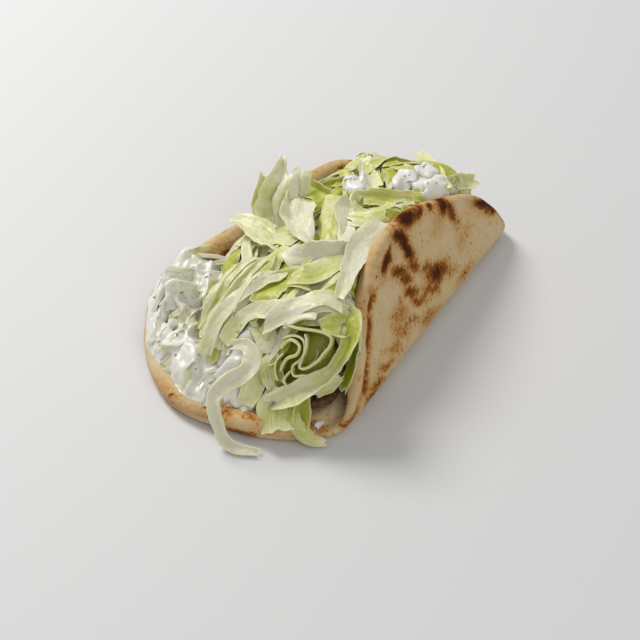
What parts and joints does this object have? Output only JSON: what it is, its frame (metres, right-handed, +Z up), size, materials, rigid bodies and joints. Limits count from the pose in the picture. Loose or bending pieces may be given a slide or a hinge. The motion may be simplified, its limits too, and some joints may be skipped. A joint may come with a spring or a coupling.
{
  "type": "gyro wrap",
  "caption": "Folded flatbread filled with shaved meat, shredded lettuce and thick yoghurt sauce, lying on its outer face with one side standing as a flap.",
  "frame": {"origin": "on the surface it lies on, under the middle of the whole wrap's box", "axes": "+Y along the fold towards the end where the left rim curls highest, +X across the fold towards the standing flap, +Z up"},
  "size_m": [0.1344, 0.225, 0.0563],
  "materials": {
    "baked_bread": "matte, blistered",
    "shaved_meat": "browned, slightly greasy",
    "lettuce_shreds": "crisp, moist satin",
    "yoghurt_sauce": "wet gloss"
  },
  "bodies": {
    "root": {"flatbread": "baked_bread", "meat_slice_lower": "shaved_meat", "meat_slice_upper": "shaved_meat", "lettuce": "lettuce_shreds", "tzatziki_near": "yoghurt_sauce", "tzatziki_far": "yoghurt_sauce"}
  },
  "joints": []
}
